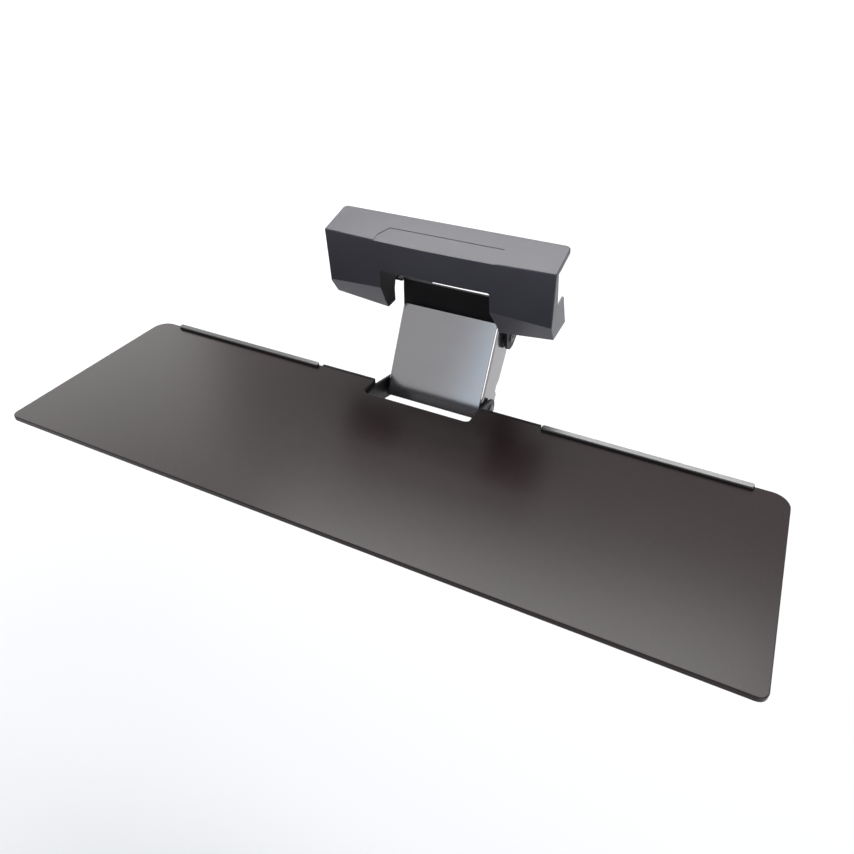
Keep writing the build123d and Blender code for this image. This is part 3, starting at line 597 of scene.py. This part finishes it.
pick(lambda edge: not upright(edge) and any(abs(face.normal.z) < 0.5 for face in edge.link_faces))
bevel(EDGE_R, 4)
bpy.ops.object.mode_set(mode="OBJECT")

# Each bead stands in a step; what the two cuts leave open is filled
BEAD_START, BEAD_END, STEP_BACK, STEP_DEEP = 124.0, 313.0, 6.3, 0.5
bead_ends = {"left": (-BEAD_END, -BEAD_START), "right": (BEAD_START, BEAD_END)}
for start, end in bead_ends.values():
    cut(board, block((start, -STEP_BACK, -STEP_DEEP), (end, STEP_BACK, 1.0)))
bpy.context.view_layer.objects.active = board
bpy.ops.object.mode_set(mode="EDIT")
bpy.ops.mesh.select_all(action="SELECT")
bpy.ops.mesh.fill_holes(sides=3)
close_up()
tray_place = Matrix((
    (1, 0, 0, 0),
    (0, cos(TRAY_SLOPE), sin(TRAY_SLOPE), tray_edge.y * MM),
    (0, -sin(TRAY_SLOPE), cos(TRAY_SLOPE), tray_edge.z * MM),
    (0, 0, 0, 1),
))
board.matrix_world = tray_place
settle(board, "board", board_dark, "board_laminate", "tray", "tray_board", angle=30)
modify(board, "WEIGHTED_NORMAL", keep_sharp=True, weight=100)

# The beads are smoother than the feet's facings, and their tops lean forward
lip_black = finish_material(
    "lip_black", (0.011, 0.011, 0.012), (0.014, 0.014, 0.015), (0.26, 0.34), bump=0.15,
    specular=0.6, wear=(0.03, 0.03, 0.03))
BEAD_DEEP, BEAD_RISE, BEAD_EDGE, BEAD_INSET = 5.5, 4.0, 0.9, 0.8
BEAD_LEAN = radians(12.0)
for hand, (start, end) in bead_ends.items():
    bead = block((start, -BEAD_INSET - BEAD_DEEP, -STEP_DEEP), (end, -BEAD_INSET, BEAD_RISE))
    bpy.ops.object.mode_set(mode="EDIT")
    pick(upright)
    bevel(0.49 * BEAD_DEEP, 8)
    bpy.ops.mesh.select_all(action="SELECT")
    bpy.ops.mesh.bisect(plane_co=(0, -BEAD_INSET * MM, BEAD_RISE * MM),
                        plane_no=(0, -sin(BEAD_LEAN), cos(BEAD_LEAN)), use_fill=True,
                        clear_outer=True)
    pick(lambda edge: all(vert.co.z > 2 * MM for vert in edge.verts) and not upright(edge))
    bevel(BEAD_EDGE, 5)
    close_up()
    bead.matrix_world = tray_place
    settle(bead, f"bead_{hand}", lip_black, "pad_rubber", "tray", f"rear_lip_{hand}", angle=30)
    modify(bead, "WEIGHTED_NORMAL", keep_sharp=True, weight=100)


# ---- Stage ----
# A white studio: a pale floor well below the tray, soft lamps, and the camera at the
# photograph's place.

def seen_mask(tree):
    """One on camera, glossy and transmission rays, and zero on the rays that only light."""
    path = tree.nodes.new("ShaderNodeLightPath").outputs
    seen = math_node(tree, "MAXIMUM", path["Is Camera Ray"], path["Is Glossy Ray"])
    return math_node(tree, "MAXIMUM", seen, path["Is Transmission Ray"])


world = bpy.data.worlds.new("studio")
bpy.context.scene.world = world
world.use_nodes = True
tree = world.node_tree
feed(tree, tree.nodes["Background"].inputs["Color"],
     tint(tree, seen_mask(tree), (0.42, 0.43, 0.46), (1, 1, 1)))

# The floor glows where it is seen, less in the middle, so that it turns white round a shadow
FLOOR_Z, FLOOR_SIZE = -0.72, 14
SHADOW_OUT, WHITE_FROM, MIDDLE_GLOW, OUTER_GLOW = 0.5, 2.4, 0.14, 0.75
bpy.ops.mesh.primitive_plane_add(size=FLOOR_SIZE, location=(0, 0, FLOOR_Z))
floor = bpy.context.object
floor.name = "floor"
floor_paint = bpy.data.materials.new("floor_paint")
floor_paint.use_nodes = True
tree = floor_paint.node_tree
shader = tree.nodes["Principled BSDF"].inputs
shader["Base Color"].default_value = (0.76, 0.76, 0.76, 1)
shader["Roughness"].default_value = 0.9
shader["Specular IOR Level"].default_value = 0.1
shader["Emission Color"].default_value = (1, 1, 1, 1)
distance = tree.nodes.new("ShaderNodeVectorMath")
distance.operation = "LENGTH"
feed(tree, distance.inputs[0], tree.nodes.new("ShaderNodeTexCoord").outputs["Object"])
glow = ramp(tree, distance.outputs["Value"], SHADOW_OUT, WHITE_FROM, MIDDLE_GLOW, OUTER_GLOW)
feed(tree, shader["Emission Strength"], math_node(tree, "MULTIPLY", seen_mask(tree), glow))
floor.data.materials.append(floor_paint)

LAMPS_AIM = Vector((0, -0.1, -0.1))
for name, spot, size, power, colour in (
    ("lamp_back", (-0.15, 1.10, 1.15), (1.8, 0.55), 36, (1, 1, 1)),
    ("lamp_left", (-1.55, 0.80, 0.55), (0.9, 0.9), 6.5, (1, 1, 1)),
    ("lamp_right", (1.25, -1.0, 0.6), (0.8, 0.8), 9, (1, 1, 1)),
    ("lamp_front", (-0.28, -1.65, 0.92), (0.6, 0.7), 2.0, (0.6, 0.82, 1.0)),
):
    light = bpy.data.lights.new(name, "AREA")
    light.shape = "RECTANGLE"
    light.size, light.size_y = size
    light.energy = power
    light.color = colour
    lamp = bpy.data.objects.new(name, light)
    lamp.location = spot
    lamp.rotation_euler = (LAMPS_AIM - Vector(spot)).to_track_quat("-Z", "Y").to_euler()
    bpy.context.collection.objects.link(lamp)

# The camera's right, up and backward directions, solved from the photograph
CAMERA_AXES = (
    (0.897976, 0.425653, -0.111474),
    (-0.267591, 0.729362, 0.629573),
    (0.349315, -0.535545, 0.768905),
)
CAMERA_SPOT, LENS, SENSOR = Vector((258.8, -463.8, 392.7)), 29.74, 36
camera_data = bpy.data.cameras.new("camera")
camera_data.sensor_width = SENSOR
camera_data.lens = LENS
camera_data.clip_start = 0.01
camera = bpy.data.objects.new("camera", camera_data)
camera.matrix_world = (Matrix.Translation(CAMERA_SPOT * MM)
                       @ Matrix(CAMERA_AXES).transposed().to_4x4())
bpy.context.collection.objects.link(camera)
bpy.context.scene.camera = camera
bpy.context.scene.view_settings.view_transform = "Standard"
